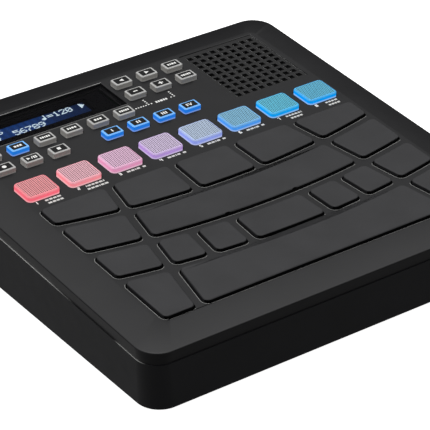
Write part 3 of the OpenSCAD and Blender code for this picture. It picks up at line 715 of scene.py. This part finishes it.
KEY_SYMBOLS = [
    "left", "right", "four_blocks",
    "minus", "plus", "five_blocks",
    "four_blocks", "three_blocks", "five_blocks", "four_blocks", "three_blocks", "five_blocks",
    "record", "play", "stop", "one", "two", "three", "four",
]  # fmt: skip


LABEL_W, LABEL_D, LABEL_CORNER = 8.7, 5.4, 0.4
LABEL_BOTTOM, LABEL_TOP = KEY_RISE - 0.05, KEY_RISE + 0.03
SYMBOL_TOP = KEY_RISE + 0.055


def dress_keys():
    """Each key's cap, with a dark label on it and a plain sign or blocks on the label."""
    for i, name in enumerate(KEYS):
        blue = i + 1 in BLUE_KEYS
        bm = rounded_cap(name, KEY_RISE, KEY_CHAMFER, KEY_ROUND, 2)
        # The top and its rounded rim take the painted highlight
        for face in bm.faces:
            if on_top(face):
                face.material_index = 1
        mats = [KEY_BLUE, KEY_BLUE_TOP_HIGHLIGHT] if blue else [KEY_GREY, KEY_GREY_TOP_HIGHLIGHT]
        cap = piece(bm, name + "_cap", mats, name, [name])
        cap.visible_glossy = False
        x, y = key_centre(name)
        bm = bmesh.new()
        label = round_rect(x, y, LABEL_W, LABEL_D, LABEL_CORNER)
        prism(bm, label, LABEL_BOTTOM, LABEL_TOP)
        piece(bm, name + "_label", [LABEL], name)
        bm = bmesh.new()
        for outline in SYMBOLS[KEY_SYMBOLS[i]]:
            prism(bm, [(x + u, y + v) for u, v in outline], KEY_RISE, SYMBOL_TOP)
        piece(bm, name + "_symbol", [INK], name)


GRILLE_TOP = -0.45
HOLE_ROUND = 0.22


def dress_grille():
    """The holes' rounded rims carry a painted highlight, only where they face the right."""
    bm = cad_copy("speaker_grille")
    edges = [
        e
        for e in bm.edges
        if sharp(e, RIM_ANGLE) and all(level(v) > GRILLE_TOP for v in e.verts)
    ]
    round_edges(bm, edges, HOLE_ROUND, 2, 1)
    bm.normal_update()
    # Rim faces that don't face the right lose the painted highlight
    for face in bm.faces:
        if face.material_index == 1 and panel_normal(face).x < FACES_RIGHT:
            face.material_index = 0
    piece(bm, "grille_panel", [GRILLE, GRILLE_RIM_HIGHLIGHT], "case", ["speaker_grille"])


DIGITS = {
    "0": ["01110", "10001", "10011", "10101", "11001", "10001", "01110"],
    "1": ["00100", "01100", "00100", "00100", "00100", "00100", "01110"],
    "2": ["01110", "10001", "00001", "00010", "00100", "01000", "11111"],
    "3": ["11111", "00010", "00100", "00010", "00001", "10001", "01110"],
    "4": ["00010", "00110", "01010", "10010", "11111", "00010", "00010"],
    "5": ["11111", "10000", "11110", "00001", "00001", "10001", "01110"],
    "6": ["00110", "01000", "10000", "11110", "10001", "10001", "01110"],
    "7": ["11111", "00001", "00010", "00100", "01000", "01000", "01000"],
    "8": ["01110", "10001", "10001", "01110", "10001", "10001", "01110"],
    "9": ["01110", "10001", "10001", "01111", "00001", "00010", "01100"],
    "=": ["00000", "00000", "11111", "00000", "11111", "00000", "00000"],
    ">": ["01000", "01100", "01110", "01111", "01110", "01100", "01000"],
    "n": ["00010", "00010", "00010", "00010", "01110", "11110", "01100"],
    " ": ["00000"] * 7,
}
# The display's opening and its level, the lit part in it, and the frame round the opening, whose
# front and rear bars are longer than the opening by RING_MORE
LCD_X, LCD_Y, LCD_W, LCD_D, LCD_LEVEL = -53.9, 93.65, 71.4, 14.0, -4.5
GLOW_LEFT, GLOW_RIGHT, GLOW_FRONT, GLOW_REAR = -88.0, -20.0, 88.0, 99.5
RING_GAP, RING_W, RING_MORE = 1.2, 2.2, 4.8
RING_BOTTOM, RING_TOP = -2.52, -2.4
SURROUND_RISE = 0.2
GLASS_BOTTOM, GLASS_TOP = 0.1, 0.3
PIXEL_BOTTOM, PIXEL_TOP = 0.28, 0.34

# 5 by 7 dots a character: n is a note, > a large arrow
LCD_LINES = ["123      n=120 >", "04  56789       "]
LCD_COLUMNS = 16
LINE_TOP, LINE_STEP, LINE_H = 99.4, 5.4, 4.9
COLUMN_INSET = 0.06
DOTS_PER_PITCH = 5.6

# The glow's upright lines, and where its fall-off starts and ends, in metres
LINE_SCALE = 73.0
GLOW_FALL_X = (-0.058, -0.018)


def glow_material():
    """The lit blue glass: fine upright lines, and a fall-off towards the right end."""
    mat = lit_material("lcd_glow", (0.011, 0.06, 0.26), 0.9, 0.3, 0.05)
    lines = node(
        mat, "ShaderNodeTexWave", Scale=LINE_SCALE, wave_type="BANDS", bands_direction="X"
    )
    link(mat, coords(mat), lines.inputs["Vector"])
    fine = map_range(mat, lines.outputs["Fac"], 0.0, 1.0, 0.6, 1.1)
    split = node(mat, "ShaderNodeSeparateXYZ")
    link(mat, coords(mat), split.inputs["Vector"])
    fall = node(mat, "ShaderNodeValToRGB")
    fall.color_ramp.elements[0].color = (1, 1, 1, 1)
    fall.color_ramp.elements[1].color = (0.12, 0.12, 0.12, 1)
    middle = fall.color_ramp.elements.new(0.4)
    middle.color = (0.32, 0.32, 0.32, 1)
    link(mat, map_range(mat, split.outputs["X"], *GLOW_FALL_X), fall.inputs["Fac"])
    strength = combine(mat, "MULTIPLY", fine, fall.outputs["Color"])
    link(mat, strength, bsdf_of(mat).inputs["Emission Strength"])
    return mat


def dress_lcd_frame():
    """The module's metal frame, and a flat ring over it that the window shows."""
    bm = cad_copy("lcd_module")
    for face in bm.faces:
        at = FROM_PANEL @ face.calc_center_median() / MM
        in_view = abs(at.x - LCD_X) < LCD_W / 2 + 0.1 and abs(at.y - LCD_Y) < LCD_D / 2 + 0.1
        if in_view and at.z > LCD_LEVEL:
            face.material_index = 1
    piece(bm, "lcd_frame", [LCD_FRAME, LCD_RING], "case", ["lcd_module"])
    bm = bmesh.new()
    for side in (-1, 1):
        y = LCD_Y + side * (LCD_D / 2 + RING_GAP)
        prism(bm, rect(LCD_X, y, LCD_W + RING_MORE, RING_W), RING_BOTTOM, RING_TOP)
        x = LCD_X + side * (LCD_W / 2 + RING_GAP)
        prism(bm, rect(x, LCD_Y, RING_W, LCD_D - 0.2), RING_BOTTOM, RING_TOP)
    piece(bm, "lcd_ring", [LCD_RING], "case")


def dress_display():
    paint("display_window", WINDOW)
    dress_lcd_frame()
    edge = lit_material("lcd_edge", (0.003, 0.004, 0.008), 0.3, 0.3, 0.0, 0.1)
    bm = bmesh.new()
    surround = rect(LCD_X, LCD_Y, LCD_W - 0.2, LCD_D - 0.2)
    prism(bm, surround, LCD_LEVEL, LCD_LEVEL + SURROUND_RISE)
    piece(bm, "lcd_surround", [edge], "case")
    bm = bmesh.new()
    width, depth = GLOW_RIGHT - GLOW_LEFT, GLOW_REAR - GLOW_FRONT
    x, y = (GLOW_LEFT + GLOW_RIGHT) / 2, (GLOW_FRONT + GLOW_REAR) / 2
    prism(bm, rect(x, y, width, depth), LCD_LEVEL + GLASS_BOTTOM, LCD_LEVEL + GLASS_TOP)
    piece(bm, "lcd_glass", [glow_material()], "case")
    text = lit_material("lcd_pixels", (0.68, 0.84, 0.95), 1.65, 0.4, 0.05, 0.1)
    bm = bmesh.new()
    pitch = width / LCD_COLUMNS
    dot_x, dot_y = pitch / DOTS_PER_PITCH, LINE_H / 7
    for row, line in enumerate(LCD_LINES):
        top = LINE_TOP - row * LINE_STEP
        for col, char in enumerate(line):
            for r, bits in enumerate(DIGITS[char]):
                for c, bit in enumerate(bits):
                    if bit == "1":
                        x = GLOW_LEFT + pitch * (col + COLUMN_INSET) + dot_x * (c + 0.5)
                        y = top - dot_y * (r + 0.5)
                        dot = rect(x, y, dot_x, dot_y)
                        prism(bm, dot, LCD_LEVEL + PIXEL_BOTTOM, LCD_LEVEL + PIXEL_TOP)
    piece(bm, "lcd_characters", [text], "case")


SEGMENTS = {
    "1": "bc", "2": "abged", "3": "abgcd", "4": "fgbc",
    "5": "afgcd", "6": "afgedc", "7": "abc", "8": "abcdefg",
}  # fmt: skip


def numeral(bm, char, x, y, w, h, t, low, high):
    """A plain numeral of straight bars, x and y at its lower left."""
    bars = {
        "a": rect(x + w / 2, y + h - t / 2, w - t, t),
        "d": rect(x + w / 2, y + t / 2, w - t, t),
        "g": rect(x + w / 2, y + h / 2, w - t, t),
        "b": rect(x + w - t / 2, y + h * 0.75, t, h / 2),
        "c": rect(x + w - t / 2, y + h * 0.25, t, h / 2),
        "f": rect(x + t / 2, y + h * 0.75, t, h / 2),
        "e": rect(x + t / 2, y + h * 0.25, t, h / 2),
    }
    for bar in SEGMENTS[char]:
        prism(bm, bars[bar], low, high)


# Widths of the plain blocks that stand for each lit pad's words, row by row
MAIN_CAPTION = [[2.3, 2.0, 0.7, 2.0, -0.8, 2.0]]
CAPTIONS = [
    [[2.1, 2.0, 2.0, 2.3], [2.3, 2.0, 1.8, 1.8]],
    [[0.7, 2.0, 1.8, 2.0, 2.1, 0.8], [1.8, 2.0, 2.1, 0.7, 2.0, 2.1]],
    MAIN_CAPTION,
    MAIN_CAPTION,
    MAIN_CAPTION,
    MAIN_CAPTION,
    [[1.5, 1.5, 1.7, 1.7, 1.5, 0.6], [1.5, 1.5, 1.8, 1.6]],
    [[1.6, 1.6, 1.6, 1.9], [1.5, 1.7, 1.3, 1.7]],
]


# Places in panel mm: the numeral's lower left and the caption's middle, from the pad's middle,
# and the line of dots round the block between the keys
PRINT_BOTTOM, PRINT_TOP = -0.02, 0.03
NUMERAL_X, NUMERAL_Y = -8.0, 16.5
NUMERAL_W, NUMERAL_H, NUMERAL_BAR = 1.6, 2.4, 0.5
CAPTION_X, CAPTION_Y, CAPTION_STEP, CAPTION_H = 3.2, 17.4, 3.0, 1.45
LINE_Y = 71.0
LINE_DOTS_X = (-1.5, 0.2, 1.9, 3.6, 5.3, 7.2, 9.2, 22.8, 25.0)
LINE_ENDS_X = (7.2, 25.0)
LINE_ENDS_RISE = (1.9, 3.8, 5.6)
LINE_DOT = (0.9, 0.8)
LINE_WORD_X = 16.0


def dress_prints():
    low, high = PRINT_BOTTOM, PRINT_TOP
    size = (NUMERAL_W, NUMERAL_H, NUMERAL_BAR)
    bm = bmesh.new()
    for i, name in enumerate(LIT_PADS):
        x, _ = key_centre(name)
        numeral(bm, str(i + 1), x + NUMERAL_X, NUMERAL_Y, *size, low, high)
    piece(bm, "pad_numerals", [INK], "case")
    bm = bmesh.new()
    for name, rows in zip(LIT_PADS, CAPTIONS):
        x, _ = key_centre(name)
        for k, widths in enumerate(rows):
            middle, y = x + CAPTION_X, CAPTION_Y - CAPTION_STEP * k
            for outline in blocks(widths, CAPTION_H):
                prism(bm, [(middle + u, y + v) for u, v in outline], low, high)
    piece(bm, "pad_captions", [CAPTION_INK], "case")
    bm = bmesh.new()
    spots = [(x, LINE_Y) for x in LINE_DOTS_X]
    spots += [(x, LINE_Y + d) for x in LINE_ENDS_X for d in LINE_ENDS_RISE]
    for x, y in spots:
        prism(bm, rect(x, y, *LINE_DOT), low, high)
    for outline in blocks([1.1, 1.1, 1.5, 1.1, 1.1], 1.7):
        prism(bm, [(LINE_WORD_X + u, LINE_Y + v) for u, v in outline], low, high)
    piece(bm, "key_line", [INK], "case")


# Where the main board's top and its USB sockets are, in mm
MAIN_BOARD_TOP = 14.15
USB_X = (2, 36)
USB_Y = 109


def dress_inside():
    bm = cad_copy("main_board")
    for face in bm.faces:
        c = face.calc_center_median() / MM
        on_board = c.z < MAIN_BOARD_TOP
        usb = USB_X[0] < c.x < USB_X[1] and c.y > USB_Y
        face.material_index = 0 if on_board else 1 if usb else 2
    piece(bm, "main_board_parts", [BOARD, STEEL, CHIP], "case", ["main_board"])
    paint("panel_board", BOARD)
    paint("speaker_driver", SPEAKER)
    paint("audio_jacks", SOCKET)
    paint("battery_pack", WRAP)
    paint("rubber_feet", FOOT)
    paint("case_screws", STEEL)
    paint("board_screws", STEEL)
    paint("volume_wheel", SOCKET)
    paint("power_button", SOCKET)


dress_cover()
dress_bottom()
dress_drum_pads()
dress_lit_pads()
dress_keys()
dress_grille()
dress_display()
dress_prints()
dress_inside()


# ---------------------------------------------------------------- stage, light and camera

floor_mesh = bpy.data.meshes.new("floor")
floor_bm = bmesh.new()
bmesh.ops.create_grid(floor_bm, x_segments=2, y_segments=2, size=4.0)
floor_bm.to_mesh(floor_mesh)
floor_bm.free()
floor = bpy.data.objects.new("floor", floor_mesh)
bpy.context.scene.collection.objects.link(floor)
floor_mat = material("floor_paper", (0.92, 0.92, 0.92), 0.9, Specular_IOR_Level=0.1)
bsdf_of(floor_mat).inputs["Emission Color"].default_value = (1, 1, 1, 1)
bsdf_of(floor_mat).inputs["Emission Strength"].default_value = 1.0
floor.data.materials.append(floor_mat)
floor.visible_diffuse = False
floor.visible_glossy = False


# The sky above: its power, strength and least brightness. Below the horizon: its strength, how
# fast it sets in, how much brighter it is towards LEAN_TO, and how it dies away straight down.
SKY_POWER = 3.0
SKY_STRENGTH = 1.6
SKY_HORIZON = 0.02
SKY_LOW = 0.14
SKY_LOW_RISE = -6.0
SKY_LEAN = 0.37
LEAN_TO = (-0.58, 0.81)
DEEP_SLOPE, DEEP_START = -2.5, -1.5


def sky():
    """A studio sky: bright overhead, dark at the horizon and dim below, more so at the right."""
    world = bpy.data.worlds.new("world")
    bpy.context.scene.world = world
    world.use_nodes = True
    tree = world.node_tree
    tree.nodes["Background"].inputs["Color"].default_value = (1, 1, 1, 1)

    def math_node(kind, a, b, c=0.0):
        made = tree.nodes.new("ShaderNodeMath")
        made.operation = kind
        for k, value in enumerate((a, b, c)):
            if isinstance(value, float):
                made.inputs[k].default_value = value
            else:
                tree.links.new(value, made.inputs[k])
        return made.outputs["Value"]

    coord = tree.nodes.new("ShaderNodeTexCoord")
    split = tree.nodes.new("ShaderNodeSeparateXYZ")
    tree.links.new(coord.outputs["Generated"], split.inputs["Vector"])
    x, y, z = (split.outputs[axis] for axis in "XYZ")
    above = math_node("MAXIMUM", z, 0.0)
    top = math_node("MULTIPLY_ADD", math_node("POWER", above, SKY_POWER), SKY_STRENGTH, SKY_HORIZON)
    rise = math_node("MULTIPLY", z, SKY_LOW_RISE)
    below = math_node("MINIMUM", math_node("MAXIMUM", rise, 0.0), 1.0)
    lean_x, lean_y = (math_node("MULTIPLY", a, b) for a, b in zip((x, y), LEAN_TO))
    side = math_node("MULTIPLY_ADD", math_node("ADD", lean_x, lean_y), SKY_LEAN, 1.0)
    deep = math_node("MAXIMUM", math_node("MULTIPLY_ADD", z, DEEP_SLOPE, DEEP_START), 0.0)
    below = math_node("MULTIPLY", below, math_node("SUBTRACT", 1.0, deep))
    low = math_node("MULTIPLY", math_node("MULTIPLY", below, side), SKY_LOW)
    tree.links.new(math_node("ADD", top, low), tree.nodes["Background"].inputs["Strength"])


sky()


def area_light(name, place, aim, size, power):
    data = bpy.data.lights.new(name, "AREA")
    data.shape = "RECTANGLE"
    data.size, data.size_y = size
    data.energy = power
    obj = bpy.data.objects.new(name, data)
    obj.location = place
    obj.rotation_euler = (Vector(aim) - Vector(place)).to_track_quat("-Z", "Y").to_euler()
    bpy.context.scene.collection.objects.link(obj)
    return obj


left_strip = area_light(
    "left_strip", place=(-1.0, 1.35, 1.0), aim=(0, 0, 0.03), size=(0.25, 0.9), power=6
)
left_strip.visible_glossy = False


# The camera, as fitted to the photo: angles in degrees, its aim and distance in mm, and its focal
# length in pixels of the photo's width. AIM_Z is counted from the case's underside, above the feet.
AZIMUTH, ELEVATION = -35.55, 30.92
AIM_X, AIM_Y, AIM_Z = -7.06, -14.65, 25
FOOT_H = 2.0
DISTANCE = 1377.48
FOCAL_PX = 2493.96
PHOTO_PX = 430
SENSOR_MM = 36

camera = bpy.data.objects.new("camera", bpy.data.cameras.new("camera"))
bpy.context.scene.collection.objects.link(camera)
azimuth, elevation = math.radians(AZIMUTH), math.radians(ELEVATION)
back = Vector(
    (
        math.sin(azimuth) * math.cos(elevation),
        -math.cos(azimuth) * math.cos(elevation),
        math.sin(elevation),
    )
)
target = Vector((AIM_X, AIM_Y, AIM_Z + FOOT_H)) * MM
camera.location = target + back * DISTANCE * MM
camera.rotation_mode = "QUATERNION"
camera.rotation_quaternion = (-back).to_track_quat("-Z", "Y")
camera.data.sensor_width = SENSOR_MM
camera.data.lens = FOCAL_PX / PHOTO_PX * SENSOR_MM
camera.data.clip_start, camera.data.clip_end = 0.1, 20
bpy.context.scene.camera = camera
bpy.context.scene.view_settings.view_transform = "Standard"
